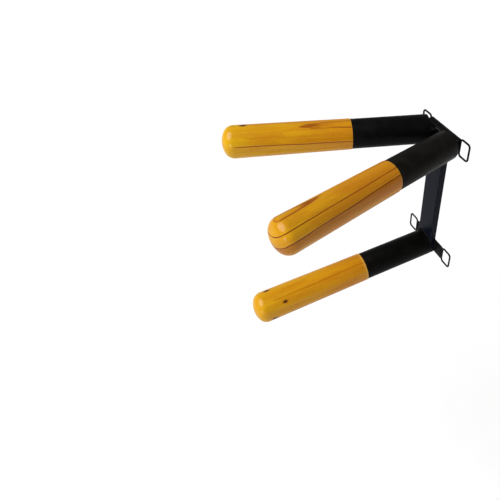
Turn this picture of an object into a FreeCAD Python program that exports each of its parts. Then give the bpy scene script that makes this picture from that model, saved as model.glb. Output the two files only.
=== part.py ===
import FreeCAD, Part
import math
import os

# Three varnished pine striking arms on a welded steel frame that straps onto a punching bag.
# A rectangular upright and a cross tube form a T. Two flat strap bars lie behind the T, against the
# bag, with a wire strap loop welded to each end. Three round sockets are welded to the front of the T,
# and an arm with a domed tip is driven into each socket.
# +X is to the right as the trainee sees it, -Y is the way the arms point, +Z is up.
# The origin is the centre of the upper strap bar's back face, which lies on the bag.
# Sizes are in millimetres, and angles are in degrees.

Vector = FreeCAD.Vector

# Strap bars: flat bar that lies on the bag, at the height of the upper and of the lower arms
ARM_ROW_SPACING = 288.0
BAR_HEIGHT = 33.5
BAR_THICKNESS = 3.0
BAR_CORNER_RADIUS = 2.0
UPPER_BAR_LENGTH = 99.0
LOWER_BAR_LENGTH = 104.0

# Upright and cross tube: rectangular steel tube, closed by end plates
TUBE_DEPTH = 15.0
TUBE_WALL = 1.5
TUBE_CORNER_RADIUS = 2.5
UPRIGHT_WIDTH = 50.0
CROSS_TUBE_HEIGHT = 30.0
END_PLATE_THICKNESS = 2.0

# Strap loops: round wire bent to a closed rounded rectangle, in the plane of the bars.
# The reach runs from the bar's end to the middle of the outer wire.
WIRE_RADIUS = 2.0
LOOP_REACH = 29.5
LOOP_HEIGHT = 37.0
LOOP_CORNER_RADIUS = 6.0

# Sockets: round tube, closed at the back by a base disc.
# The lower socket is cut on the slant to meet the upright, so its base disc is thicker at the top.
SOCKET_RADIUS = 30.0
SOCKET_WALL = 2.0
SOCKET_RIM_CHAMFER = 0.5
BASE_DISC_THICKNESS = 3.0
UPPER_SOCKET_LENGTH = 157.0
LOWER_SOCKET_LENGTH = 163.0

# The upper arms spread sideways and rise a little towards their tips, and the lower arm dips.
# The axis offset and drop are measured from the middle of the bar, in the front plane of the T.
UPPER_AXIS_OFFSET = 33.3
UPPER_ARM_SPREAD = 16.7
UPPER_ARM_RISE = 0.5
LOWER_AXIS_DROP = 1.0
LOWER_ARM_DIP = 4.5

# Arms: turned pine, a little thicker than the sockets and swelling slightly towards a domed tip.
# The reach is the length that stands out of the socket.
ARM_SHOULDER_RADIUS = 31.0
ARM_TIP_RADIUS = 32.5
ARM_SHOULDER_ROUND = 1.2
TIP_LENGTH = 23.5
TIP_EDGE_RADIUS = 20.5
UPPER_ARM_REACH = 252.0
LOWER_ARM_REACH = 256.0

# Wedge plates: they fill the angle between an upper socket and the cross tube
WEDGE_THICKNESS = 5.0
WEDGE_HEIGHTS = {"top": 10.0, "bottom": -10.0}

# Weld beads
FRAME_WELD_RADIUS = 2.5
SOCKET_WELD_RADIUS = 3.0
LOOP_WELD_RADIUS = 1.8
LOOP_WELD_LENGTH = 18.0

BAR_FRONT_Y = -BAR_THICKNESS
FRAME_FRONT_Y = BAR_FRONT_Y - TUBE_DEPTH
FRAME_MIDDLE_Y = BAR_FRONT_Y - TUBE_DEPTH / 2
LOWER_ROW_Z = -ARM_ROW_SPACING
UPRIGHT_TOP_Z = -CROSS_TUBE_HEIGHT / 2
UPRIGHT_BOTTOM_Z = LOWER_ROW_Z - BAR_HEIGHT / 2
LOWER_AXIS_START = Vector(0, FRAME_FRONT_Y, LOWER_ROW_Z - LOWER_AXIS_DROP)
FAR = 200.0


def centred_box(size_x, size_y, size_z, centre):
    corner = centre - Vector(size_x, size_y, size_z) * 0.5
    return Part.makeBox(size_x, size_y, size_z, corner)


def round_edges_along(solid, direction, radius):
    edges = []
    for edge in solid.Edges:
        if abs(edge.tangentAt(edge.FirstParameter).dot(direction)) > 0.999:
            edges.append(edge)
    return solid.makeFillet(radius, edges)


def rod(start, end, radius):
    return Part.makeCylinder(radius, (end - start).Length, start, end - start)


def mirrored(shape):
    return shape.mirror(Vector(0, 0, 0), Vector(1, 0, 0))


def strap_bar(length, middle_z):
    middle = Vector(0, -BAR_THICKNESS / 2, middle_z)
    flat = centred_box(length, BAR_THICKNESS, BAR_HEIGHT, middle)
    return round_edges_along(flat, Vector(0, 1, 0), BAR_CORNER_RADIUS)


def rectangular_tube(size_x, size_z, middle_z, run, hollow=True):
    """A length of tube in the T, with its long rounded edges and its bore along the run."""
    middle = Vector(0, FRAME_MIDDLE_Y, middle_z)
    outside = centred_box(size_x, TUBE_DEPTH, size_z, middle)
    outside = round_edges_along(outside, run, TUBE_CORNER_RADIUS)
    if not hollow:
        return outside
    wall_x = 2 * TUBE_WALL * (1 - abs(run.x))
    wall_z = 2 * TUBE_WALL * (1 - abs(run.z))
    bore = centred_box(size_x - wall_x, TUBE_DEPTH - 2 * TUBE_WALL, size_z - wall_z, middle)
    bore = round_edges_along(bore, run, TUBE_CORNER_RADIUS - TUBE_WALL)
    return outside.cut(bore)


def upright_tube(hollow=True):
    bottom = UPRIGHT_BOTTOM_Z + END_PLATE_THICKNESS
    height = UPRIGHT_TOP_Z - bottom
    return rectangular_tube(UPRIGHT_WIDTH, height, bottom + height / 2, Vector(0, 0, 1), hollow)


def upright_end_plate():
    middle_z = UPRIGHT_BOTTOM_Z + END_PLATE_THICKNESS / 2
    return rectangular_tube(UPRIGHT_WIDTH, END_PLATE_THICKNESS, middle_z, Vector(0, 0, 1), False)


def cross_tube(hollow=True):
    length = UPPER_BAR_LENGTH - 2 * END_PLATE_THICKNESS
    return rectangular_tube(length, CROSS_TUBE_HEIGHT, 0, Vector(1, 0, 0), hollow)


def cross_tube_end_plate():
    plate = rectangular_tube(END_PLATE_THICKNESS, CROSS_TUBE_HEIGHT, 0, Vector(1, 0, 0), False)
    plate.translate(Vector((UPPER_BAR_LENGTH - END_PLATE_THICKNESS) / 2, 0, 0))
    return plate


def strap_loop(bar_length, middle_z):
    """The loop at the right-hand end of a bar, flush with the bar's back face."""
    inner_x = bar_length / 2 + WIRE_RADIUS
    outer_x = bar_length / 2 + LOOP_REACH
    low_z = middle_z - LOOP_HEIGHT / 2
    high_z = middle_z + LOOP_HEIGHT / 2
    y = -WIRE_RADIUS
    corners = [(inner_x, low_z, 1, 1), (inner_x, high_z, 1, -1),
               (outer_x, high_z, -1, -1), (outer_x, low_z, -1, 1)]
    radius = LOOP_CORNER_RADIUS
    bow = radius * (1 - math.sqrt(0.5))
    arcs = []
    for x, z, inward_x, inward_z in corners:
        beside = Vector(x + inward_x * radius, y, z)
        above = Vector(x, y, z + inward_z * radius)
        middle = Vector(x + inward_x * bow, y, z + inward_z * bow)
        ends = (beside, above) if inward_x == inward_z else (above, beside)
        arcs.append(Part.Arc(ends[0], middle, ends[1]))
    edges = []
    for number, arc in enumerate(arcs):
        following = arcs[(number + 1) % len(arcs)]
        edges.append(arc.toShape())
        edges.append(Part.makeLine(arc.EndPoint, following.StartPoint))
    path = Part.Wire(edges)
    start = arcs[0].StartPoint
    section = Part.Wire(Part.makeCircle(WIRE_RADIUS, start, Vector(1, 0, 0)))
    return path.makePipeShell([section], True, False)


def upper_arm_direction():
    spread = math.radians(UPPER_ARM_SPREAD)
    rise = math.radians(UPPER_ARM_RISE)
    level = Vector(math.sin(spread), -math.cos(spread), 0)
    return level * math.cos(rise) + Vector(0, 0, math.sin(rise))


def upper_placement():
    """Puts a piece turned about +Z onto the right-hand upper axis, its base just clear of the T."""
    direction = upper_arm_direction()
    on_axis = Vector(UPPER_AXIS_OFFSET, FRAME_FRONT_Y, 0)
    corner = Vector(UPPER_BAR_LENGTH / 2, FRAME_FRONT_Y, CROSS_TUBE_HEIGHT / 2)
    base = on_axis + direction * (corner - on_axis).dot(direction)
    return FreeCAD.Placement(base, FreeCAD.Rotation(Vector(0, 0, 1), direction))


def lower_slant():
    """How far the lower axis runs between the middle and the top of the slanted end."""
    return SOCKET_RADIUS * math.tan(math.radians(LOWER_ARM_DIP))


def lower_placement():
    """Starts the lower socket far enough back for its whole rim to reach the upright."""
    dip = math.radians(LOWER_ARM_DIP)
    direction = Vector(0, -math.cos(dip), -math.sin(dip))
    base = LOWER_AXIS_START - direction * lower_slant()
    return FreeCAD.Placement(base, FreeCAD.Rotation(Vector(0, 0, 1), direction))


def in_front_of_upright(shape):
    behind = centred_box(FAR, FAR, FAR, Vector(0, FRAME_FRONT_Y + FAR / 2, LOWER_ROW_Z))
    return shape.cut(behind)


def placed(shape, placement):
    result = shape.copy()
    result.Placement = placement
    return result


def socket_tube(length):
    outside = Part.makeCylinder(SOCKET_RADIUS, length)
    bore = Part.makeCylinder(SOCKET_RADIUS - SOCKET_WALL, length)
    tube = outside.cut(bore)
    rims = []
    for edge in tube.Edges:
        if edge.Closed and abs(edge.Curve.Radius - SOCKET_RADIUS) < 0.01:
            rims.append(edge)
    return tube.makeChamfer(SOCKET_RIM_CHAMFER, rims)


def base_disc(thickness):
    return Part.makeCylinder(SOCKET_RADIUS - SOCKET_WALL, thickness)


def wooden_arm(socket_length, reach, disc_thickness):
    """A tenon from the base disc to the socket's rim, then the thicker arm that stands out of it."""
    tenon_radius = SOCKET_RADIUS - SOCKET_WALL
    tip_start = socket_length + reach - TIP_LENGTH
    tip_end = socket_length + reach

    def at(radius, height):
        return Vector(radius, 0, height)

    bow = ARM_SHOULDER_ROUND * (1 - math.sqrt(0.5))
    shoulder_inner = at(ARM_SHOULDER_RADIUS - ARM_SHOULDER_ROUND, socket_length)
    shoulder_middle = at(ARM_SHOULDER_RADIUS - bow, socket_length + bow)
    shoulder_outer = at(ARM_SHOULDER_RADIUS, socket_length + ARM_SHOULDER_ROUND)

    # The tip is a rounded edge that runs into a flatter crown. The crown's radius makes them tangent.
    edge_centre = at(ARM_TIP_RADIUS - TIP_EDGE_RADIUS, tip_start)
    crown_rise = TIP_LENGTH - TIP_EDGE_RADIUS
    crown_radius = TIP_EDGE_RADIUS + (edge_centre.x ** 2 + crown_rise ** 2) / (2 * crown_rise)
    crown_centre = at(0, tip_end - crown_radius)
    turn = math.atan2(edge_centre.z - crown_centre.z, edge_centre.x)
    half_turn = turn / 2
    half_crown = (turn + math.pi / 2) / 2
    edge_start = at(ARM_TIP_RADIUS, tip_start)
    edge_middle = edge_centre + at(math.cos(half_turn), math.sin(half_turn)) * TIP_EDGE_RADIUS
    edge_end = edge_centre + at(math.cos(turn), math.sin(turn)) * TIP_EDGE_RADIUS
    crown_middle = crown_centre + at(math.cos(half_crown), math.sin(half_crown)) * crown_radius
    crown_end = at(0, tip_end)

    edges = [
        Part.makeLine(at(0, disc_thickness), at(tenon_radius, disc_thickness)),
        Part.makeLine(at(tenon_radius, disc_thickness), at(tenon_radius, socket_length)),
        Part.makeLine(at(tenon_radius, socket_length), shoulder_inner),
        Part.Arc(shoulder_inner, shoulder_middle, shoulder_outer).toShape(),
        Part.makeLine(shoulder_outer, edge_start),
        Part.Arc(edge_start, edge_middle, edge_end).toShape(),
        Part.Arc(edge_end, crown_middle, crown_end).toShape(),
        Part.makeLine(crown_end, at(0, disc_thickness)),
    ]
    outline = Part.Face(Part.Wire(edges))
    return outline.revolve(Vector(0, 0, 0), Vector(0, 0, 1), 360)


def upper_wedge(middle_z):
    """A plate that closes the angle between the cross tube's front and the right-hand socket."""
    placement = upper_placement()
    outer_x = UPPER_BAR_LENGTH / 2
    inner_x = placement.Base.x - SOCKET_RADIUS + SOCKET_WALL
    low_z = middle_z - WEDGE_THICKNESS / 2
    forward = Vector(0, -(outer_x - inner_x), 0)
    outer = Vector(outer_x, FRAME_FRONT_Y, low_z)
    inner = Vector(inner_x, FRAME_FRONT_Y, low_z)
    outline = Part.makePolygon([outer, inner, inner + forward, outer])
    plate = Part.Face(outline).extrude(Vector(0, 0, WEDGE_THICKNESS))
    in_front_of_base = Part.makeBox(2 * FAR, 2 * FAR, FAR, Vector(-FAR, -FAR, 0))
    return plate.cut(placed(in_front_of_base, placement))


def bead(start, end, radius, neighbours):
    """A round run of weld metal in a corner, less the pieces that it joins."""
    metal = rod(start, end, radius)
    for neighbour in neighbours:
        metal = metal.cut(neighbour)
    return max(metal.Solids, key=lambda solid: solid.Volume)


def upper_bar_welds():
    """Runs along the top and the bottom of the cross tube, where it lies on the strap bar."""
    half = UPPER_BAR_LENGTH / 2
    neighbours = [strap_bar(UPPER_BAR_LENGTH, 0), cross_tube(False), upright_tube(False)]
    neighbours += [cross_tube_end_plate(), mirrored(cross_tube_end_plate())]
    top = CROSS_TUBE_HEIGHT / 2
    runs = [(-half, half, top), (UPRIGHT_WIDTH / 2, half, -top), (-half, -UPRIGHT_WIDTH / 2, -top)]
    beads = []
    for start_x, end_x, z in runs:
        start = Vector(start_x, BAR_FRONT_Y, z)
        end = Vector(end_x, BAR_FRONT_Y, z)
        beads.append(bead(start, end, FRAME_WELD_RADIUS, neighbours))
    return beads


def lower_bar_welds():
    """Runs up both sides of the upright, where it lies on the lower strap bar."""
    neighbours = [strap_bar(LOWER_BAR_LENGTH, LOWER_ROW_Z), upright_tube(False), upright_end_plate()]
    low = Vector(UPRIGHT_WIDTH / 2, BAR_FRONT_Y, UPRIGHT_BOTTOM_Z)
    high = low + Vector(0, 0, BAR_HEIGHT)
    right = bead(low, high, FRAME_WELD_RADIUS, neighbours)
    return [right, mirrored(right)]


def tee_welds():
    """Runs in the two corners under the cross tube, beside the upright."""
    neighbours = [cross_tube(False), upright_tube(False), strap_bar(UPPER_BAR_LENGTH, 0)]
    back = Vector(UPRIGHT_WIDTH / 2, BAR_FRONT_Y - FRAME_WELD_RADIUS, UPRIGHT_TOP_Z)
    front = Vector(UPRIGHT_WIDTH / 2, FRAME_FRONT_Y + TUBE_CORNER_RADIUS, UPRIGHT_TOP_Z)
    right = bead(back, front, FRAME_WELD_RADIUS, neighbours)
    return [right, mirrored(right)]


def lower_socket_welds():
    """A run over the top of the lower socket, and one behind its base on each side of the upright."""
    socket = placed(Part.makeCylinder(SOCKET_RADIUS, LOWER_SOCKET_LENGTH), lower_placement())
    neighbours = [socket, upright_tube(False), upright_end_plate()]
    centre = LOWER_AXIS_START
    ring = Part.makeTorus(SOCKET_RADIUS, SOCKET_WELD_RADIUS, centre, Vector(0, 1, 0))
    half_width = UPRIGHT_WIDTH / 2 - TUBE_CORNER_RADIUS
    corner = Vector(-half_width, FRAME_FRONT_Y - FAR, centre.z)
    over_the_top = ring.common(Part.makeBox(2 * half_width, FAR, FAR, corner))
    for neighbour in neighbours:
        over_the_top = over_the_top.cut(neighbour)
    reach = math.sqrt(SOCKET_RADIUS ** 2 - (UPRIGHT_WIDTH / 2) ** 2) - SOCKET_WELD_RADIUS
    low = Vector(UPRIGHT_WIDTH / 2, FRAME_FRONT_Y, centre.z - reach)
    high = low + Vector(0, 0, 2 * reach)
    right = bead(low, high, SOCKET_WELD_RADIUS, neighbours)
    return over_the_top.Solids + [right, mirrored(right)]


def upper_socket_weld():
    """A run down the cross tube's front corner, where the right-hand socket's base touches it."""
    socket = placed(Part.makeCylinder(SOCKET_RADIUS, UPPER_SOCKET_LENGTH), upper_placement())
    half_height = CROSS_TUBE_HEIGHT / 2 - TUBE_CORNER_RADIUS
    low = Vector(UPPER_BAR_LENGTH / 2, FRAME_FRONT_Y, -half_height)
    high = Vector(UPPER_BAR_LENGTH / 2, FRAME_FRONT_Y, half_height)
    neighbours = [socket, cross_tube(False), cross_tube_end_plate()]
    neighbours += [upper_wedge(z) for z in WEDGE_HEIGHTS.values()]
    return bead(low, high, SOCKET_WELD_RADIUS, neighbours)


def loop_weld(bar_length, middle_z):
    """A run between the right-hand end of a bar and the inner wire of its loop, on the front."""
    neighbours = [strap_bar(bar_length, middle_z), strap_loop(bar_length, middle_z)]
    low = Vector(bar_length / 2, BAR_FRONT_Y, middle_z - LOOP_WELD_LENGTH / 2)
    high = low + Vector(0, 0, LOOP_WELD_LENGTH)
    return bead(low, high, LOOP_WELD_RADIUS, neighbours)


def frame_pieces():
    upper_welds = [upper_socket_weld(), mirrored(upper_socket_weld())]
    return {
        "upper_strap_bar": strap_bar(UPPER_BAR_LENGTH, 0),
        "lower_strap_bar": strap_bar(LOWER_BAR_LENGTH, LOWER_ROW_Z),
        "upright_tube": upright_tube(),
        "upright_end_plate": upright_end_plate(),
        "cross_tube": cross_tube(),
        "cross_tube_right_end_plate": cross_tube_end_plate(),
        "cross_tube_left_end_plate": mirrored(cross_tube_end_plate()),
        "upper_bar_welds": Part.makeCompound(upper_bar_welds()),
        "lower_bar_welds": Part.makeCompound(lower_bar_welds()),
        "tee_welds": Part.makeCompound(tee_welds()),
        "upper_socket_welds": Part.makeCompound(upper_welds),
        "lower_socket_welds": Part.makeCompound(lower_socket_welds()),
    }


def loop_pieces():
    pieces = {}
    for row, length, middle_z in (("upper", UPPER_BAR_LENGTH, 0), ("lower", LOWER_BAR_LENGTH, LOWER_ROW_Z)):
        loop = strap_loop(length, middle_z)
        weld = loop_weld(length, middle_z)
        pieces[row + "_right_strap_loop"] = loop
        pieces[row + "_left_strap_loop"] = mirrored(loop)
        pieces[row + "_right_loop_weld"] = weld
        pieces[row + "_left_loop_weld"] = mirrored(weld)
    return pieces


def arm_pieces():
    pieces = {}
    upper = {
        "socket": socket_tube(UPPER_SOCKET_LENGTH),
        "base_disc": base_disc(BASE_DISC_THICKNESS),
        "wooden_arm": wooden_arm(UPPER_SOCKET_LENGTH, UPPER_ARM_REACH, BASE_DISC_THICKNESS),
    }
    for name, shape in upper.items():
        right = placed(shape, upper_placement())
        pieces["upper_right_" + name] = right
        pieces["upper_left_" + name] = mirrored(right)
    for level, middle_z in WEDGE_HEIGHTS.items():
        right = upper_wedge(middle_z)
        pieces["upper_right_wedge_" + level] = right
        pieces["upper_left_wedge_" + level] = mirrored(right)
    disc_thickness = BASE_DISC_THICKNESS + 2 * lower_slant()
    lower_socket = placed(socket_tube(LOWER_SOCKET_LENGTH), lower_placement())
    lower_disc = placed(base_disc(disc_thickness), lower_placement())
    arm = wooden_arm(LOWER_SOCKET_LENGTH, LOWER_ARM_REACH, disc_thickness)
    lower_arm = placed(arm, lower_placement())
    pieces["lower_socket"] = in_front_of_upright(lower_socket)
    pieces["lower_base_disc"] = in_front_of_upright(lower_disc)
    pieces["lower_wooden_arm"] = lower_arm
    return pieces


os.makedirs("parts", exist_ok=True)
for group in (frame_pieces(), loop_pieces(), arm_pieces()):
    for node, shape in group.items():
        shape.exportStep("parts/" + node + ".step")
        print(node, "solids", len(shape.Solids), "valid", shape.isValid(), "volume", round(shape.Volume, 1))
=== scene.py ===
import math
import random

import bmesh
import bpy
from mathutils import Matrix, Vector


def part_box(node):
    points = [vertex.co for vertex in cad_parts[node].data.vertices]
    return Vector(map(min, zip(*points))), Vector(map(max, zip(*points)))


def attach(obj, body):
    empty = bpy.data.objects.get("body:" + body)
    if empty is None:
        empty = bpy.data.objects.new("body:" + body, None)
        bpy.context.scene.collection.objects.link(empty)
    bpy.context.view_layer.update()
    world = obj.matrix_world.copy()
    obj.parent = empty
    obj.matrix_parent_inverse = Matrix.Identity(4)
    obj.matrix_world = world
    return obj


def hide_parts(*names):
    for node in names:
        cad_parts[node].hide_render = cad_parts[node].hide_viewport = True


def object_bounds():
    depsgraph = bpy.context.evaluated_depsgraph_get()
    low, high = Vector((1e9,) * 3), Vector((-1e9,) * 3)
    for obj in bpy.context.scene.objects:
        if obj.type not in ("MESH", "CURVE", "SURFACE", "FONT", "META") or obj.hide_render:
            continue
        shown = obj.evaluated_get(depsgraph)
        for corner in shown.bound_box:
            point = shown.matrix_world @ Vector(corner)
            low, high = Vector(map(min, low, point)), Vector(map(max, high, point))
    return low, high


# Three varnished pine arms in black steel sockets, on a welded frame that straps onto a punching bag.
# Sizes are in metres and angles in degrees. +X is right, -Y is the way the arms point, +Z is up.
# The rectangular tubes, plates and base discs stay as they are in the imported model. The arms, sockets,
# strap bars, loops and weld beads are made again here, with rounded edges and weld ripples.

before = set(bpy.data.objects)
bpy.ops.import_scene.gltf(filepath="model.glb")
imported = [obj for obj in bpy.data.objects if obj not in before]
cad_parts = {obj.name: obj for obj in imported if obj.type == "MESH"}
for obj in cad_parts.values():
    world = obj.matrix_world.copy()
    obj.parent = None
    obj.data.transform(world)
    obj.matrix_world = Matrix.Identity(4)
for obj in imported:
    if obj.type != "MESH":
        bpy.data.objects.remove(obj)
CAD_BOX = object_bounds()

# The arms' directions
UPPER_ARM_SPREAD = 16.7
UPPER_ARM_RISE = 0.5
LOWER_ARM_DIP = 4.5

# Arms: the tenon inside the socket, the shoulder, and the domed tip
TENON_RADIUS = 0.0279
SHOULDER_RADIUS = 0.0310
SHOULDER_ROUND = 0.0012
TIP_RADIUS = 0.0325
TIP_LENGTH = 0.0235
TIP_EDGE_RADIUS = 0.0205

# Sockets
SOCKET_RADIUS = 0.0300
SOCKET_WALL = 0.0020
SOCKET_RIM_ROUND = 0.0005

# Frame
UPRIGHT_WIDTH = 0.0500
TUBE_CORNER_RADIUS = 0.0025
BAR_EDGE_ROUND = 0.0004
LOOP_CORNER_RADIUS = 0.0060

# Weld beads: the radius of the bead, and the length of one ripple. Each ripple has a size of its own
# and tapers along its length, and a bead's ends are rounded down to a small share of its size.
FRAME_BEAD_RADIUS = 0.0025
SOCKET_BEAD_RADIUS = 0.0028
LOOP_BEAD_RADIUS = 0.0018
LOOP_BEAD_LENGTH = 0.018
RIPPLE_PITCH = 0.0022
RIPPLE_STEPS = 6
RIPPLE_SIZES = (0.90, 1.06)
RIPPLE_TAPER = 0.20
BEAD_END_SQUARED = 0.06

# Mesh: segments round a turned piece, a wire and a bead, and steps along each kind of arc
ROUND_SEGMENTS = 96
WIRE_SEGMENTS = 16
BEAD_SEGMENTS = 14
SHOULDER_STEPS = 5
ARM_STRETCHES = 24
TIP_EDGE_STEPS = 12
CROWN_STEPS = 10
RIM_STEPS = 3
LOOP_CORNER_STEPS = 8
OVER_SOCKET_STEPS = 24
SMOOTH_ANGLE = 35
FLAT_ANGLE = 1.0
SHARP_ANGLE = 60
MERGE_DISTANCE = 0.00001

# Camera: where it stands, the way it looks, and its lens
CAMERA_PLACE = Vector((0.6777, -0.5467, 0.5168))
CAMERA_AZIMUTH = 64.10
CAMERA_ELEVATION = 37.85
CAMERA_ROLL = 0.51
CAMERA_LENS = 35.40
CAMERA_SHIFT_X = -0.195
CAMERA_SHIFT_Y = -0.121

# Light: a broad key light from the front and above, a weak low one from the front right, which the
# domed tips mirror, and an even light from all round
KEY_DIRECTION = Vector((-0.08, -0.62, 0.78)).normalized()
KEY_STRENGTH = 3.7
KEY_WIDTH = 50.0
FILL_DIRECTION = Vector((0.60, -0.80, 0.05)).normalized()
FILL_STRENGTH = 0.60
FILL_WIDTH = 17.0
ROOM_LIGHT = 0.30
FLOOR_DROP = 1.0
FLOOR_HALF_WIDTH = 80.0

# Wood: how far the pith lies from the arm's axis, how much of an upper arm stands out of its socket,
# and how far apart the faint growth rings are. A knot's distances are shortened along the arm, so that
# it is longer than it is wide, and FAR_SIDE is added to them on the side where it doesn't show.
PITH_DISTANCE = 0.060
VISIBLE_LENGTH = 0.252
RING_SPACING = 0.0046
KNOT_SHORTENING = 0.62
FAR_SIDE = 50.0

# Wood colours, fresh and fully browned by its varnish
YELLOW = ((0.585, 0.310, 0.0035), (0.535, 0.255, 0.0035))
ORANGE = ((0.520, 0.225, 0.0030), (0.455, 0.170, 0.0030))
# The tips' lighter yellow is painted light, where the key light falls on the domes.
TIP_PAINTED_LIGHT = ((0.630, 0.360, 0.0050), (0.590, 0.310, 0.0050))
SHOULDER_ORANGE = ((0.500, 0.190, 0.0030), (0.440, 0.160, 0.0030))
DARK_FIBRE = (0.34, 0.115, 0.003, 1.0)
PALE_FIBRE = (0.64, 0.34, 0.010, 1.0)
RING_BROWN = (0.300, 0.080, 0.002, 1.0)
RING_DARK = (0.105, 0.026, 0.001, 1.0)
PORE_BROWN = (0.180, 0.055, 0.002, 1.0)
KNOT_BROWN = (0.30, 0.095, 0.004, 1.0)
KNOT_DARK = (0.030, 0.008, 0.003, 1.0)
# A pale whitish line along the shoulder edge: painted highlight.
SHOULDER_EDGE_HIGHLIGHT = (0.72, 0.44, 0.10, 1.0)

# Paint colours: each black is a pair that the paint wanders between. The blue of the upright's blue black
# is a painted reflection of the surroundings on its front face.
BLACK = ((0.0022, 0.0022, 0.0024, 1.0), (0.0052, 0.0050, 0.0052, 1.0))
BLACK_WITH_BLUE_REFLECTION = ((0.0030, 0.0038, 0.0085, 1.0), (0.0060, 0.0074, 0.0135, 1.0))
DUST_GREY = (0.030, 0.030, 0.030, 1.0)
# Light grey along the edges: bare steel where the paint is rubbed off, and painted highlights on edges that
# catch the light.
BARE_STEEL_AND_HIGHLIGHT = (0.170, 0.170, 0.175, 1.0)
FLOOR_PALE = (0.84, 0.84, 0.84, 1.0)
FLOOR_PALER = (0.86, 0.86, 0.86, 1.0)


# ---------------------------------------------------------------- frame

def arm_matrix(node, spread, rise):
    """The arm's own axes: +Z runs out to the tip, +Y is up, and the origin is the end of the tip."""
    side = math.radians(spread)
    up = math.radians(rise)
    along = Vector((math.sin(side) * math.cos(up), -math.cos(side) * math.cos(up), math.sin(up)))
    across = Vector((0, 0, 1)).cross(along).normalized()
    upward = along.cross(across)
    tip = max((v.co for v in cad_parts[node].data.vertices), key=along.dot)
    matrix = Matrix((across, upward, along)).transposed().to_4x4()
    matrix.translation = tip
    return matrix


def reach_along(node, matrix):
    """The lowest and highest place of a CAD node along an arm's own Z."""
    inverse = matrix.inverted()
    heights = [(inverse @ v.co).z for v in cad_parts[node].data.vertices]
    return min(heights), max(heights)


# ---------------------------------------------------------------- mesh

def finished(name, mesh, material, matrix=None):
    """Turns a mesh into a piece with smooth shading, sharp only where the surface really turns."""
    if matrix is not None:
        mesh.transform(matrix)
    for polygon in mesh.polygons:
        polygon.use_smooth = True
    mesh.set_sharp_from_angle(angle=math.radians(SMOOTH_ANGLE))
    mesh.materials.clear()
    mesh.materials.append(material)
    piece = bpy.data.objects.new(name, mesh)
    bpy.context.scene.collection.objects.link(piece)
    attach(piece, "root")
    return piece


def mesh_from(name, points, faces):
    mesh = bpy.data.meshes.new(name)
    mesh.from_pydata(points, [], faces)
    tidy = bmesh.new()
    tidy.from_mesh(mesh)
    bmesh.ops.recalc_face_normals(tidy, faces=tidy.faces)
    tidy.to_mesh(mesh)
    tidy.free()
    return mesh


def lathe(name, profile, closed=False):
    """Turns (radius, height) points about Z. An open profile starts and ends on the axis."""
    points = []
    rings = []
    for radius, height in profile:
        if radius == 0:
            rings.append([len(points)])
            points.append((0, 0, height))
            continue
        start = len(points)
        rings.append(list(range(start, start + ROUND_SEGMENTS)))
        for number in range(ROUND_SEGMENTS):
            turn = 2 * math.pi * number / ROUND_SEGMENTS
            points.append((radius * math.cos(turn), radius * math.sin(turn), height))
    pairs = list(zip(rings, rings[1:]))
    if closed:
        pairs.append((rings[-1], rings[0]))
    faces = []
    for low, high in pairs:
        for number in range(ROUND_SEGMENTS):
            after = (number + 1) % ROUND_SEGMENTS
            if len(low) == 1:
                faces.append((low[0], high[number], high[after]))
            elif len(high) == 1:
                faces.append((low[number], low[after], high[0]))
            else:
                faces.append((low[number], low[after], high[after], high[number]))
    return mesh_from(name, points, faces)


def arc(centre_r, centre_z, radius, start, end, steps):
    """Points (radius, height) on an arc, from one angle to another, both ends included."""
    points = []
    for number in range(steps + 1):
        turn = start + (end - start) * number / steps
        points.append((centre_r + radius * math.cos(turn), centre_z + radius * math.sin(turn)))
    return points


def sweep(name, path, section, closed):
    """Joins up cross-sections: section(number) gives the ring of points at each point of the path."""
    points = []
    for number in range(len(path)):
        points.extend(section(number))
    size = len(points) // len(path)
    faces = []
    stretches = len(path) if closed else len(path) - 1
    for number in range(stretches):
        low = number * size
        high = ((number + 1) % len(path)) * size
        for corner in range(size):
            after = (corner + 1) % size
            faces.append((low + corner, low + after, high + after, high + corner))
    if not closed:
        faces.append(tuple(range(size)))
        faces.append(tuple(range(len(points) - size, len(points))))
    return mesh_from(name, points, faces)


# ---------------------------------------------------------------- materials

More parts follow.
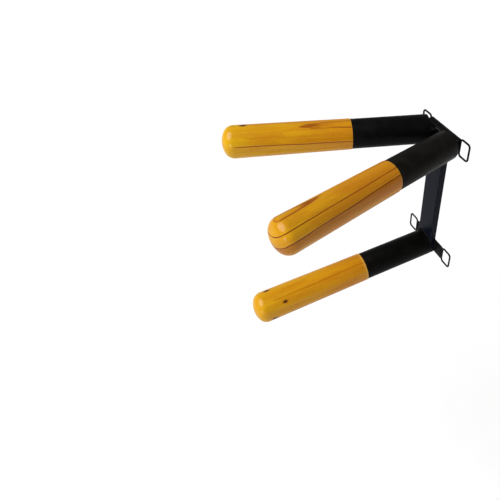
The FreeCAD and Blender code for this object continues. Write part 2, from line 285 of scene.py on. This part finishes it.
class Nodes:
    """A material's node tree, with short ways to add the nodes that the materials here share."""

    def __init__(self, name, matrix=Matrix.Identity(4)):
        self.material = bpy.data.materials.new(name)
        self.material.use_nodes = True
        self.tree = self.material.node_tree
        self.shader = self.tree.nodes["Principled BSDF"]
        self.place = self.place_in(matrix)

    def add(self, kind, inputs=None, **settings):
        node = self.tree.nodes.new(kind)
        for key, value in settings.items():
            setattr(node, key, value)
        for key, value in (inputs or {}).items():
            self.set(node.inputs[key], value)
        return node

    def set(self, socket, value):
        if isinstance(value, bpy.types.NodeSocket):
            self.tree.links.new(value, socket)
        else:
            socket.default_value = value

    def math(self, operation, *values):
        node = self.add("ShaderNodeMath", operation=operation)
        for socket, value in zip(node.inputs, values):
            self.set(socket, value)
        return node.outputs[0]

    def vector(self, operation, *values):
        node = self.add("ShaderNodeVectorMath", operation=operation)
        for socket, value in zip(node.inputs, values):
            self.set(socket, value)
        return node

    def place_in(self, matrix):
        """The place on the object, measured along the axes of a matrix."""
        place = self.add("ShaderNodeTexCoord").outputs["Object"]
        off = self.vector("SUBTRACT", place, matrix.translation).outputs[0]
        parts = self.add("ShaderNodeCombineXYZ")
        for number in range(3):
            axis = matrix.col[number].to_3d()
            along = self.vector("DOT_PRODUCT", off, axis).outputs["Value"]
            self.set(parts.inputs[number], along)
        return parts.outputs[0]

    def stretched(self, scale):
        """The place, scaled by a different number along each axis."""
        return self.vector("MULTIPLY", self.place, scale).outputs[0]

    def noise(self, scale, detail=2.0, roughness=0.5, offset=0.0):
        """Noise from 0 to 1. The scale is in cycles per metre along X, Y and Z."""
        where = self.vector("ADD", self.stretched(scale), (offset, offset, offset)).outputs[0]
        settings = {"Vector": where, "Scale": 1.0, "Detail": detail, "Roughness": roughness}
        return self.add("ShaderNodeTexNoise", settings).outputs["Fac"]

    def ramp(self, value, low, high, to_low=0.0, to_high=1.0):
        """A smooth step from one value to another between two limits."""
        node = self.add("ShaderNodeMapRange", interpolation_type="SMOOTHSTEP")
        for socket, number in zip(node.inputs, (value, low, high, to_low, to_high)):
            self.set(socket, number)
        return node.outputs[0]

    def mix(self, share, first, second, blend="MIX"):
        node = self.add("ShaderNodeMix", data_type="RGBA", blend_type=blend)
        self.set(node.inputs[0], share)
        self.set(node.inputs[6], first)
        self.set(node.inputs[7], second)
        return node.outputs[2]

    def bump(self, height, distance, strength=1.0):
        settings = {"Height": height, "Distance": distance, "Strength": strength}
        return self.add("ShaderNodeBump", settings).outputs["Normal"]


def browned(tones, varnish):
    """A wood colour between its fresh and its fully browned tone."""
    fresh, old = tones
    return tuple(a + (b - a) * varnish for a, b in zip(fresh, old)) + (1.0,)


def knot_distances(nodes, knots):
    """For each knot, how far a place is from the knot's own axis, in knot radii."""
    distances = []
    for distance, angle, radius in knots:
        turn = math.radians(angle)
        out = (math.cos(turn), math.sin(turn), 0.0)
        middle = (TIP_RADIUS * out[0], TIP_RADIUS * out[1], -distance)
        off = nodes.vector("SUBTRACT", nodes.place, middle).outputs[0]
        squeezed = nodes.vector("MULTIPLY", off, (1.0, 1.0, KNOT_SHORTENING)).outputs[0]
        aside = nodes.vector("CROSS_PRODUCT", squeezed, out).outputs[0]
        away = nodes.vector("LENGTH", aside).outputs["Value"]
        this_side = nodes.vector("DOT_PRODUCT", nodes.place, out).outputs["Value"]
        far_side = nodes.math("LESS_THAN", this_side, 0.0)
        in_radii = nodes.math("DIVIDE", away, radius)
        distances.append(nodes.math("ADD", in_radii, nodes.math("MULTIPLY", far_side, FAR_SIDE)))
    return distances


def distance_from_pith(nodes, make, x, y, from_tip, near_knot):
    """The distance from the pith, wavy along the arm, and pushed aside round each knot."""
    turn = math.radians(make["outward"])
    pith = nodes.math("ADD", PITH_DISTANCE, nodes.math("MULTIPLY", from_tip, make["tilt"]))
    from_pith_x = nodes.math("ADD", x, nodes.math("MULTIPLY", pith, math.cos(turn)))
    from_pith_y = nodes.math("ADD", y, nodes.math("MULTIPLY", pith, math.sin(turn)))
    square_x = nodes.math("POWER", from_pith_x, 2.0)
    square_y = nodes.math("POWER", from_pith_y, 2.0)
    radius = nodes.math("SQRT", nodes.math("ADD", square_x, square_y))
    slow = nodes.noise((26.0, 26.0, 9.0), 1.0, 0.4, make["seed"])
    quick = nodes.noise((160.0, 160.0, 26.0), 2.0, 0.5, make["seed"] + 7.0)
    radius = nodes.math("ADD", radius, nodes.ramp(slow, 0.2, 0.8, -0.0006, 0.0006))
    radius = nodes.math("ADD", radius, nodes.ramp(quick, 0.2, 0.8, -0.00028, 0.00028))
    for away in near_knot:
        radius = nodes.math("ADD", radius, nodes.ramp(away, 0.6, 3.4, 0.0021, 0.0))
    return radius


def faint_rings(nodes, make, radius):
    """How dark the evenly spaced faint rings are. Each has a darkness of its own."""
    count = nodes.math("DIVIDE", radius, RING_SPACING)
    whole = nodes.math("FLOOR", count)
    part = nodes.math("FRACT", count)
    which = {"W": nodes.math("ADD", whole, make["seed"] + 0.5)}
    own = nodes.add("ShaderNodeTexWhiteNoise", which, noise_dimensions="1D").outputs["Value"]
    band = nodes.math("MULTIPLY", nodes.ramp(part, 0.35, 0.93), nodes.ramp(part, 0.95, 1.0, 1.0, 0.0))
    return nodes.math("MULTIPLY", band, nodes.ramp(own, 0.1, 1.0, 0.02, 0.24 * make["grain"]))


def strong_rings(nodes, make, radius, from_tip, dark):
    """Adds the strong rings: a dark line on one side, and a brown that fades away on the other."""
    share = nodes.math("DIVIDE", from_tip, VISIBLE_LENGTH)
    streak = nodes.noise((420.0, 420.0, 14.0), 2.0, 0.55, make["seed"] + 21.0)
    for at_tip, at_shoulder, soft, line_width, strength, start in make["rings"]:
        middle = nodes.math("ADD", at_tip, nodes.math("MULTIPLY", share, at_shoulder - at_tip))
        off = nodes.math("SUBTRACT", radius, middle)
        if soft < 0:
            off = nodes.math("MULTIPLY", off, -1.0)
        fade = nodes.ramp(off, -abs(soft), -0.2 * abs(soft), 0.0, 0.50)
        core = nodes.ramp(off, -line_width, -0.4 * line_width, 0.0, 0.50)
        edge = nodes.ramp(off, 0.0, 0.4 * line_width, strength, 0.0)
        line = nodes.math("MULTIPLY", nodes.math("ADD", fade, core), edge)
        line = nodes.math("MULTIPLY", line, nodes.ramp(streak, 0.25, 0.6, 0.72, 1.0))
        line = nodes.math("MULTIPLY", line, nodes.ramp(from_tip, start, start + 0.02))
        dark = nodes.math("MAXIMUM", dark, line)
    return dark


def wood_colour(nodes, make, from_tip, fibre, dark, near_knot):
    """Yellow at the tip, lightened there as painted light, and orange towards the socket, with fibres,
    rings, pores and knots.
    """
    varnish = make["varnish"]
    flame = nodes.noise((55.0, 55.0, 10.0), 2.0, 0.5, make["seed"] + 11.0)
    colour = nodes.mix(nodes.ramp(flame, 0.36, 0.66), browned(YELLOW, varnish), browned(ORANGE, varnish))
    # Painted light: the dome faces the key light, so the colour turns lighter and yellower towards the tip.
    at_tip = nodes.ramp(from_tip, 0.0, 0.100, 0.55, 0.0)
    colour = nodes.mix(at_tip, colour, browned(TIP_PAINTED_LIGHT, varnish))
    towards_shoulder = nodes.ramp(from_tip, 0.05, 0.24, 0.0, 0.60)
    colour = nodes.mix(towards_shoulder, colour, browned(SHOULDER_ORANGE, varnish))
    colour = nodes.mix(nodes.ramp(fibre, 0.42, 0.75, 0.0, 0.38), colour, DARK_FIBRE)
    colour = nodes.mix(nodes.ramp(fibre, 0.22, 0.42, 0.30, 0.0), colour, PALE_FIBRE)
    colour = nodes.mix(nodes.ramp(dark, 0.0, 0.7), colour, RING_BROWN)
    colour = nodes.mix(nodes.ramp(dark, 0.45, 1.0), colour, RING_DARK)
    pore = nodes.noise((1100.0, 1100.0, 170.0), 1.0, 0.5, make["seed"] + 31.0)
    colour = nodes.mix(nodes.ramp(pore, 0.62, 0.74, 0.0, 0.45), colour, PORE_BROWN)
    for away in near_knot:
        colour = nodes.mix(nodes.ramp(away, 0.9, 2.0, 0.62, 0.0), colour, KNOT_BROWN)
        colour = nodes.mix(nodes.ramp(away, 0.72, 1.08, 0.94, 0.0), colour, KNOT_DARK)
    # Painted highlight: a pale line over the last 2 mm of wood at the shoulder, where its edge catches the
    # light.
    edge = nodes.ramp(from_tip, VISIBLE_LENGTH - 0.0022, VISIBLE_LENGTH - 0.0002, 0.0, 0.30)
    return nodes.mix(edge, colour, SHOULDER_EDGE_HIGHLIGHT)


def pine(name, matrix, make):
    """Varnished pine. The growth rings are tubes about a pith that lies beside the arm."""
    nodes = Nodes(name, matrix)
    x, y, z = nodes.add("ShaderNodeSeparateXYZ", {"Vector": nodes.place}).outputs
    from_tip = nodes.math("MULTIPLY", z, -1.0)
    near_knot = knot_distances(nodes, make["knots"])
    radius = distance_from_pith(nodes, make, x, y, from_tip, near_knot)
    dark = strong_rings(nodes, make, radius, from_tip, faint_rings(nodes, make, radius))
    fibre = nodes.noise((700.0, 700.0, 12.0), 3.0, 0.6, make["seed"] + 3.0)
    shader = nodes.shader
    nodes.set(shader.inputs["Base Color"], wood_colour(nodes, make, from_tip, fibre, dark, near_knot))
    nodes.set(shader.inputs["Roughness"], nodes.ramp(fibre, 0.2, 0.8, 0.36, 0.52))
    shader.inputs["Specular IOR Level"].default_value = 0.0
    shader.inputs["Coat Weight"].default_value = 0.45
    shader.inputs["Coat Roughness"].default_value = 0.20
    shader.inputs["Coat IOR"].default_value = 1.5
    ripple = nodes.math("ADD", nodes.math("MULTIPLY", fibre, 0.6), nodes.math("MULTIPLY", dark, -0.5))
    nodes.set(shader.inputs["Normal"], nodes.bump(ripple, 0.00022, 0.55))
    return nodes.material


def edge_wear_and_highlight(nodes, box, amount, seed):
    """Light patches along the long edges of a box-shaped piece: rubbed-through paint, and painted
    highlights.
    """
    low, high = box
    off = nodes.vector("SUBTRACT", nodes.place, (low + high) / 2).outputs[0]
    aside = nodes.vector("ABSOLUTE", off).outputs[0]
    depth = nodes.vector("SUBTRACT", (high - low) / 2, aside).outputs[0]
    parts = nodes.add("ShaderNodeSeparateXYZ", {"Vector": depth})
    near_x, near_y, near_z = [nodes.ramp(part, 0.0005, 0.0016, 1.0, 0.0) for part in parts.outputs]
    edge = nodes.math("MULTIPLY", near_x, near_y)
    edge = nodes.math("MAXIMUM", edge, nodes.math("MULTIPLY", near_y, near_z))
    edge = nodes.math("MAXIMUM", edge, nodes.math("MULTIPLY", near_x, near_z))
    rubbed_and_glinting = nodes.noise((80.0, 80.0, 80.0), 4.0, 0.65, seed + 13.0)
    return nodes.math("MULTIPLY", edge, nodes.ramp(rubbed_and_glinting, 0.46, 0.72, 0.0, amount))


def paint(name, dark, light, roughness, gloss, seed, box=None, wear_and_highlight=0.0):
    """Satin black paint on steel: orange peel, uneven sheen, and a few specks of dust.

    gloss is the specular level. box is the lowest and highest corners of a box-shaped piece, and the
    wear argument sets how strongly its edges show rubbed-through paint and painted highlights.
    """
    nodes = Nodes(name)
    cloud = nodes.noise((38.0, 38.0, 38.0), 3.0, 0.6, seed)
    speck = nodes.noise((900.0, 900.0, 900.0), 2.0, 0.6, seed + 5.0)
    peel = nodes.noise((420.0, 420.0, 420.0), 2.0, 0.5, seed + 9.0)
    colour = nodes.mix(nodes.ramp(cloud, 0.35, 0.75), dark, light)
    colour = nodes.mix(nodes.ramp(speck, 0.66, 0.80, 0.0, 0.20), colour, DUST_GREY)
    if box:
        colour = nodes.mix(edge_wear_and_highlight(nodes, box, wear_and_highlight, seed), colour, BARE_STEEL_AND_HIGHLIGHT)
    shader = nodes.shader
    nodes.set(shader.inputs["Base Color"], colour)
    sheen = nodes.ramp(cloud, 0.25, 0.8, roughness - 0.06, roughness + 0.08)
    nodes.set(shader.inputs["Roughness"], sheen)
    shader.inputs["Specular IOR Level"].default_value = gloss
    nodes.set(shader.inputs["Normal"], nodes.bump(peel, 0.00006, 0.6))
    return nodes.material


def floor_material():
    nodes = Nodes("studio_floor")
    cloud = nodes.noise((3.0, 3.0, 3.0), 2.0, 0.5)
    colour = nodes.mix(nodes.ramp(cloud, 0.3, 0.7), FLOOR_PALE, FLOOR_PALER)
    nodes.set(nodes.shader.inputs["Base Color"], colour)
    nodes.shader.inputs["Roughness"].default_value = 0.9
    nodes.shader.inputs["Specular IOR Level"].default_value = 0.1
    return nodes.material


FRAME_PAINT = paint("frame_paint", *BLACK, roughness=0.42, gloss=0.05, seed=50.0)
WIRE_PAINT = paint("wire_paint", *BLACK, roughness=0.38, gloss=0.06, seed=40.0)
WELD_PAINT = paint("weld_paint", *BLACK, roughness=0.40, gloss=0.05, seed=60.0)


# ---------------------------------------------------------------- arms and sockets

def arm_profile(tail, shoulder):
    """From the tenon's end, over the shoulder and along the arm, to the crown of the tip at height 0."""
    crown_rise = TIP_LENGTH - TIP_EDGE_RADIUS
    edge_r = TIP_RADIUS - TIP_EDGE_RADIUS
    edge_z = -TIP_LENGTH
    crown_radius = TIP_EDGE_RADIUS + (edge_r ** 2 + crown_rise ** 2) / (2 * crown_rise)
    turn = math.atan2(edge_z + crown_radius, edge_r)
    profile = [(0, tail), (TENON_RADIUS, tail), (TENON_RADIUS, shoulder)]
    round_r = SHOULDER_RADIUS - SHOULDER_ROUND
    profile += arc(round_r, shoulder + SHOULDER_ROUND, SHOULDER_ROUND, -math.pi / 2, 0, SHOULDER_STEPS)
    start = shoulder + SHOULDER_ROUND
    for number in range(1, ARM_STRETCHES):
        share = number / ARM_STRETCHES
        radius = SHOULDER_RADIUS + (TIP_RADIUS - SHOULDER_RADIUS) * share
        profile.append((radius, start + (edge_z - start) * share))
    profile += arc(edge_r, edge_z, TIP_EDGE_RADIUS, 0, turn, TIP_EDGE_STEPS)
    profile += arc(0, -crown_radius, crown_radius, turn, math.pi / 2, CROWN_STEPS)[1:-1]
    profile.append((0, 0))
    return profile


def wooden_arm(arm, matrix, material):
    node = arm + "_wooden_arm"
    tail = reach_along(node, matrix)[0]
    shoulder = reach_along(arm + "_socket", matrix)[1]
    mesh = lathe(node + "_turned", arm_profile(tail, shoulder))
    piece = finished(node + "_turned", mesh, material, matrix)
    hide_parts(node)


def socket(arm, matrix, material, front_y=None):
    """A tube with softly rounded rims. Where front_y is given, the tube is cut back to that plane."""
    node = arm + "_socket"
    base, rim = reach_along(node, matrix)
    bore = SOCKET_RADIUS - SOCKET_WALL
    soft = SOCKET_RIM_ROUND
    quarter = math.pi / 2
    profile = arc(SOCKET_RADIUS - soft, base + soft, soft, -quarter, 0, RIM_STEPS)
    profile += arc(SOCKET_RADIUS - soft, rim - soft, soft, 0, quarter, RIM_STEPS)
    profile += arc(bore + soft, rim - soft, soft, quarter, 2 * quarter, RIM_STEPS)
    profile += [(bore, base)]
    mesh = lathe(node + "_tube", profile, closed=True)
    if front_y is not None:
        along = matrix.to_3x3() @ Vector((0, 0, 1))
        for vertex in mesh.vertices:
            behind = (matrix @ vertex.co).y - front_y
            if behind > 0:
                vertex.co.z += behind / -along.y
    piece = finished(node + "_tube", mesh, material, matrix)
    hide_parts(node)


# ---------------------------------------------------------------- frame pieces

def bevelled_copy(node, width, material):
    """The CAD piece again, with its sheared edges eased."""
    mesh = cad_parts[node].data.copy()
    work = bmesh.new()
    work.from_mesh(mesh)
    bmesh.ops.remove_doubles(work, verts=work.verts, dist=MERGE_DISTANCE)
    flat = math.radians(FLAT_ANGLE)
    bmesh.ops.dissolve_limit(work, angle_limit=flat, verts=work.verts, edges=work.edges)
    sharp = []
    for edge in work.edges:
        if len(edge.link_faces) == 2 and edge.calc_face_angle() > math.radians(SHARP_ANGLE):
            sharp.append(edge)
    bmesh.ops.bevel(work, geom=sharp, offset=width, segments=2, profile=0.5, affect="EDGES")
    work.to_mesh(mesh)
    work.free()
    # The CAD piece's stored normals don't fit the eased edges
    if "custom_normal" in mesh.attributes:
        mesh.attributes.remove(mesh.attributes["custom_normal"])
    piece = finished(node + "_eased", mesh, material)
    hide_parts(node)


def strap_loop(node):
    """Round wire bent to a closed rounded rectangle."""
    low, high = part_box(node)
    wire = (high.y - low.y) / 2
    middle_y = (high.y + low.y) / 2
    corner = LOOP_CORNER_RADIUS
    left, right = low.x + wire + corner, high.x - wire - corner
    bottom, top = low.z + wire + corner, high.z - wire - corner
    path = []
    corners = [(right, top, 0), (left, top, 90), (left, bottom, 180), (right, bottom, 270)]
    for x, z, start in corners:
        for number in range(LOOP_CORNER_STEPS + 1):
            turn = math.radians(start + 90 * number / LOOP_CORNER_STEPS)
            out = Vector((math.cos(turn), 0, math.sin(turn)))
            path.append((Vector((x, middle_y, z)) + out * corner, out))

    def section(number):
        centre, out = path[number]
        ring = []
        for step in range(WIRE_SEGMENTS):
            turn = 2 * math.pi * step / WIRE_SEGMENTS
            ring.append(centre + out * wire * math.cos(turn) + Vector((0, 1, 0)) * wire * math.sin(turn))
        return ring

    mesh = sweep(node + "_wire", path, section, closed=True)
    piece = finished(node + "_wire", mesh, WIRE_PAINT)
    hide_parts(node)


def bead_mesh(name, route, radius, seed):
    """A weld bead along a route: overlapping ripples, each a little different, with rounded ends."""
    chance = random.Random(seed)
    lengths = [0.0]
    for before, after in zip(route, route[1:]):
        lengths.append(lengths[-1] + (after - before).length)
    total = lengths[-1]
    count = max(2, round(total / RIPPLE_PITCH))
    sizes = [chance.uniform(*RIPPLE_SIZES) for _ in range(count + 1)]
    steps = count * RIPPLE_STEPS
    path = []
    for step in range(steps + 1):
        along = total * step / steps
        index = max(i for i in range(len(route) - 1) if lengths[i] <= along + 1e-9)
        share = (along - lengths[index]) / (lengths[index + 1] - lengths[index])
        point = route[index].lerp(route[index + 1], share)
        forward = (route[index + 1] - route[index]).normalized()
        ripple = step / RIPPLE_STEPS
        hump = 1.0 - RIPPLE_TAPER * (ripple % 1.0) ** 2
        end = min(along, total - along) / radius
        closing = math.sqrt(max(BEAD_END_SQUARED, 1 - (1 - min(1, end)) ** 2))
        path.append((point, forward, radius * hump * sizes[int(ripple)] * closing))

    def section(number):
        centre, forward, size = path[number]
        helper = Vector((0, 0, 1)) if abs(forward.z) < 0.9 else Vector((1, 0, 0))
        first = forward.cross(helper).normalized()
        second = forward.cross(first)
        ring = []
        for step in range(BEAD_SEGMENTS):
            turn = 2 * math.pi * step / BEAD_SEGMENTS
            ring.append(centre + first * size * math.cos(turn) + second * size * math.sin(turn))
        return ring

    return sweep(name, path, section, closed=False)


def welds(node, routes, radius, seed):
    """All the beads of one CAD weld node, joined into one piece."""
    joined = bmesh.new()
    for number, route in enumerate(routes):
        joined.from_mesh(bead_mesh("bead", route, radius, seed + number))
    mesh = bpy.data.meshes.new(node + "_beads")
    joined.to_mesh(mesh)
    joined.free()
    piece = finished(node + "_beads", mesh, WELD_PAINT)
    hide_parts(node)


def upper_bar_routes():
    bar_low, bar_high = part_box("upper_strap_bar")
    tube_low, tube_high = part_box("cross_tube")
    inset = FRAME_BEAD_RADIUS
    left, right = bar_low.x + inset, bar_high.x - inset
    half = UPRIGHT_WIDTH / 2
    y = bar_low.y
    return [
        [Vector((left, y, tube_high.z)), Vector((right, y, tube_high.z))],
        [Vector((half, y, tube_low.z)), Vector((right, y, tube_low.z))],
        [Vector((left, y, tube_low.z)), Vector((-half, y, tube_low.z))],
    ]


def lower_bar_routes():
    low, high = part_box("lower_strap_bar")
    inset = FRAME_BEAD_RADIUS
    routes = []
    for x in (-UPRIGHT_WIDTH / 2, UPRIGHT_WIDTH / 2):
        routes.append([Vector((x, low.y, low.z + inset)), Vector((x, low.y, high.z - inset))])
    return routes


def tee_routes():
    low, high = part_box("upright_tube")
    routes = []
    for x in (low.x, high.x):
        back = Vector((x, high.y - FRAME_BEAD_RADIUS, high.z))
        front = Vector((x, low.y + TUBE_CORNER_RADIUS, high.z))
        routes.append([back, front])
    return routes


def upper_socket_routes():
    low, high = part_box("cross_tube")
    bar_low, bar_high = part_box("upper_strap_bar")
    inset = TUBE_CORNER_RADIUS
    routes = []
    for x in (bar_low.x, bar_high.x):
        routes.append([Vector((x, low.y, low.z + inset)), Vector((x, low.y, high.z - inset))])
    return routes


def lower_socket_routes(matrix, front_y):
    """Over the top of the socket, and behind its base on each side of the upright."""
    along = matrix.to_3x3() @ Vector((0, 0, 1))
    centre = matrix.translation + along * ((front_y - matrix.translation.y) / along.y)
    half_width = UPRIGHT_WIDTH / 2 - TUBE_CORNER_RADIUS
    spread = math.asin(half_width / SOCKET_RADIUS)
    over = []
    for number in range(OVER_SOCKET_STEPS + 1):
        turn = -spread + 2 * spread * number / OVER_SOCKET_STEPS
        over.append(centre + Vector((math.sin(turn), 0, math.cos(turn))) * SOCKET_RADIUS)
    half = UPRIGHT_WIDTH / 2
    reach = math.sqrt(SOCKET_RADIUS ** 2 - half ** 2) - SOCKET_BEAD_RADIUS / 2
    routes = [over]
    for x in (-half, half):
        middle = Vector((x, front_y, centre.z))
        routes.append([middle - Vector((0, 0, reach)), middle + Vector((0, 0, reach))])
    return routes


def loop_routes(bar, side):
    low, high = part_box(bar)
    x = high.x if side > 0 else low.x
    middle = (low.z + high.z) / 2
    half = LOOP_BEAD_LENGTH / 2
    return [[Vector((x, low.y, middle - half)), Vector((x, low.y, middle + half))]]


# ---------------------------------------------------------------- studio

def studio_floor():
    """A wide pale floor, a metre below the part, which hangs free as it does on its bag."""
    half = FLOOR_HALF_WIDTH
    z = CAD_BOX[0].z - FLOOR_DROP
    points = [(-half, -half, z), (half, -half, z), (half, half, z), (-half, half, z)]
    mesh = bpy.data.meshes.new("studio_floor")
    mesh.from_pydata(points, [], [(0, 1, 2, 3)])
    mesh.materials.append(floor_material())
    floor = bpy.data.objects.new("studio_floor", mesh)
    bpy.context.scene.collection.objects.link(floor)


def soft_light(name, direction, strength, width):
    """A broad light a long way off: its strength, and the angle that it spans as seen from the part."""
    light = bpy.data.lights.new(name, "SUN")
    light.energy = strength
    light.angle = math.radians(width)
    lamp = bpy.data.objects.new(name, light)
    lamp.rotation_euler = direction.to_track_quat("Z", "Y").to_euler()
    bpy.context.scene.collection.objects.link(lamp)


def room():
    """The same white light from all round."""
    world = bpy.data.worlds.new("studio")
    world.use_nodes = True
    background = world.node_tree.nodes["Background"]
    background.inputs["Color"].default_value = (1.0, 1.0, 1.0, 1.0)
    background.inputs["Strength"].default_value = ROOM_LIGHT
    bpy.context.scene.world = world


def camera():
    azimuth, elevation, roll = (math.radians(a) for a in (CAMERA_AZIMUTH, CAMERA_ELEVATION, CAMERA_ROLL))
    level = math.cos(elevation)
    back = Vector((math.sin(azimuth) * level, -math.cos(azimuth) * level, math.sin(elevation)))
    right = Vector((0, 0, 1)).cross(back).normalized()
    up = back.cross(right)
    across = right * math.cos(roll) + up * math.sin(roll)
    upward = up * math.cos(roll) - right * math.sin(roll)
    data = bpy.data.cameras.new("camera")
    data.lens = CAMERA_LENS
    data.shift_x = CAMERA_SHIFT_X
    data.shift_y = CAMERA_SHIFT_Y
    view = bpy.data.objects.new("camera", data)
    matrix = Matrix((across, upward, back)).transposed().to_4x4()
    matrix.translation = CAMERA_PLACE
    view.matrix_world = matrix
    bpy.context.scene.collection.objects.link(view)
    bpy.context.scene.camera = view


# ---------------------------------------------------------------- the part

FRONT_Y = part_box("upright_tube")[0].y

# rings: the radius from the pith at the tip and at the shoulder, how far the brown fades away (inward,
#   or outward where it is negative), the width of the dark line, the strength, and where it starts.
# knots: the distance from the tip, the angle round the arm, and the radius.
# outward: the angle round the arm of the side away from the pith.
# tilt: how much further off the pith runs for each metre towards the shoulder.
# varnish: how far the wood has browned, from 0 to 1.
# grain: how strongly the faint rings show.
# paint: the pair of blacks for the arm's socket. They differ from arm to arm as painted light and shade:
# the near upper right socket's pair is lighter and warmer.
ARMS = {
    "upper_left": {
        "spread": -UPPER_ARM_SPREAD,
        "rise": UPPER_ARM_RISE,
        "rings": [
            (0.0959, 0.0955, -0.0012, 0.0004, 0.62, 0.10),
            (0.0826, 0.0826, 0.0022, 0.0012, 0.85, 0.015),
            (0.0905, 0.0905, 0.0016, 0.0007, 0.30, 0.03),
            (0.0884, 0.0880, 0.0012, 0.0006, 0.26, 0.06),
        ],
        "knots": [(0.043, 99, 0.0040)],
        "outward": 72,
        "tilt": 0.022,
        "seed": 3.0,
        "varnish": 0.0,
        "grain": 1.0,
        "paint": [(0.0016, 0.0016, 0.0018, 1.0), (0.0036, 0.0034, 0.0036, 1.0)],
    },
    "upper_right": {
        "spread": UPPER_ARM_SPREAD,
        "rise": UPPER_ARM_RISE,
        "rings": [
            (0.0505, 0.0431, -0.0024, 0.0019, 0.90, -0.03),
            # Painted shade: this ring's wide outward brown, 30 mm, darkens the underside of this near arm.
            (0.0699, 0.0578, -0.0300, 0.0018, 0.95, -0.02),
            (0.0315, 0.0235, 0.0040, 0.0016, 0.68, 0.00),
        ],
        "knots": [],
        "outward": 288,
        "tilt": 0.0,
        "seed": 14.0,
        "varnish": 1.0,
        "grain": 1.1,
        "paint": [(0.0045, 0.0038, 0.0030, 1.0), (0.0080, 0.0070, 0.0056, 1.0)],
    },
    "lower": {
        "spread": 0.0,
        "rise": -LOWER_ARM_DIP,
        "rings": [(0.0885, 0.0885, 0.0040, 0.0015, 0.35, 0.03)],
        "knots": [(0.0366, 116, 0.0038), (0.0643, 40, 0.0031), (0.0349, -17, 0.0040)],
        "outward": 20,
        "tilt": 0.012,
        "seed": 33.0,
        "varnish": 0.6,
        "grain": 0.5,
        "paint": [(0.0018, 0.0017, 0.0015, 1.0), (0.0038, 0.0036, 0.0032, 1.0)],
    },
}

for arm, make in ARMS.items():
    matrix = arm_matrix(arm + "_wooden_arm", make["spread"], make["rise"])
    wood = pine(arm + "_pine", matrix, make)
    wooden_arm(arm, matrix, wood)
    # The sockets share one paint; their different blacks are painted light and shade, with the near upper
    # right socket lighter and warmer.
    dark, light = make["paint"]
    socket_paint_and_light = paint(arm + "_socket_paint_and_light", dark, light, roughness=0.46, gloss=0.045, seed=make["seed"])
    if arm == "lower":
        socket(arm, matrix, socket_paint_and_light, FRONT_Y)
        welds("lower_socket_welds", lower_socket_routes(matrix, FRONT_Y), SOCKET_BEAD_RADIUS, 500)
    else:
        socket(arm, matrix, socket_paint_and_light)

for bar in ("upper_strap_bar", "lower_strap_bar"):
    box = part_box(bar)
    bar_paint = paint(bar + "_paint", *BLACK, roughness=0.42, gloss=0.05, seed=50.0, box=box, wear_and_highlight=0.40)
    bevelled_copy(bar, BAR_EDGE_ROUND, bar_paint)

for row in ("upper", "lower"):
    for name, side in (("right", 1), ("left", -1)):
        strap_loop(f"{row}_{name}_strap_loop")
        routes = loop_routes(row + "_strap_bar", side)
        welds(f"{row}_{name}_loop_weld", routes, LOOP_BEAD_RADIUS, 700 + side)

welds("upper_bar_welds", upper_bar_routes(), FRAME_BEAD_RADIUS, 100)
welds("lower_bar_welds", lower_bar_routes(), FRAME_BEAD_RADIUS, 200)
welds("tee_welds", tee_routes(), FRAME_BEAD_RADIUS, 300)
welds("upper_socket_welds", upper_socket_routes(), SOCKET_BEAD_RADIUS, 400)

# The upright's blue black carries a painted blue reflection of the surroundings, which shows on its front
# face.
upright_paint_with_blue_reflection = paint(
    "upright_paint_with_blue_reflection", *BLACK_WITH_BLUE_REFLECTION, roughness=0.40, gloss=0.045, seed=20.0,
    box=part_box("upright_tube"), wear_and_highlight=0.25,
)
# The cross tube's strong edge wear draws painted highlights, light flecks along its edges.
cross_tube_paint = paint(
    "cross_tube_paint", *BLACK, roughness=0.42, gloss=0.05, seed=80.0,
    box=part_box("cross_tube"), wear_and_highlight=0.9,
)
STEEL_NODES = {
    "upright_tube": upright_paint_with_blue_reflection,
    "upright_end_plate": upright_paint_with_blue_reflection,
    "cross_tube": cross_tube_paint,
}
for side in ("right", "left"):
    STEEL_NODES[f"cross_tube_{side}_end_plate"] = FRAME_PAINT
    STEEL_NODES[f"upper_{side}_wedge_top"] = FRAME_PAINT
    STEEL_NODES[f"upper_{side}_wedge_bottom"] = FRAME_PAINT
    STEEL_NODES[f"upper_{side}_base_disc"] = FRAME_PAINT
STEEL_NODES["lower_base_disc"] = FRAME_PAINT
for node, material in STEEL_NODES.items():
    for material_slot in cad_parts[node].material_slots:
        material_slot.material = material

soft_light("key", KEY_DIRECTION, KEY_STRENGTH, KEY_WIDTH)
soft_light("fill", FILL_DIRECTION, FILL_STRENGTH, FILL_WIDTH)
room()
studio_floor()
camera()
bpy.context.scene.view_settings.view_transform = "Standard"
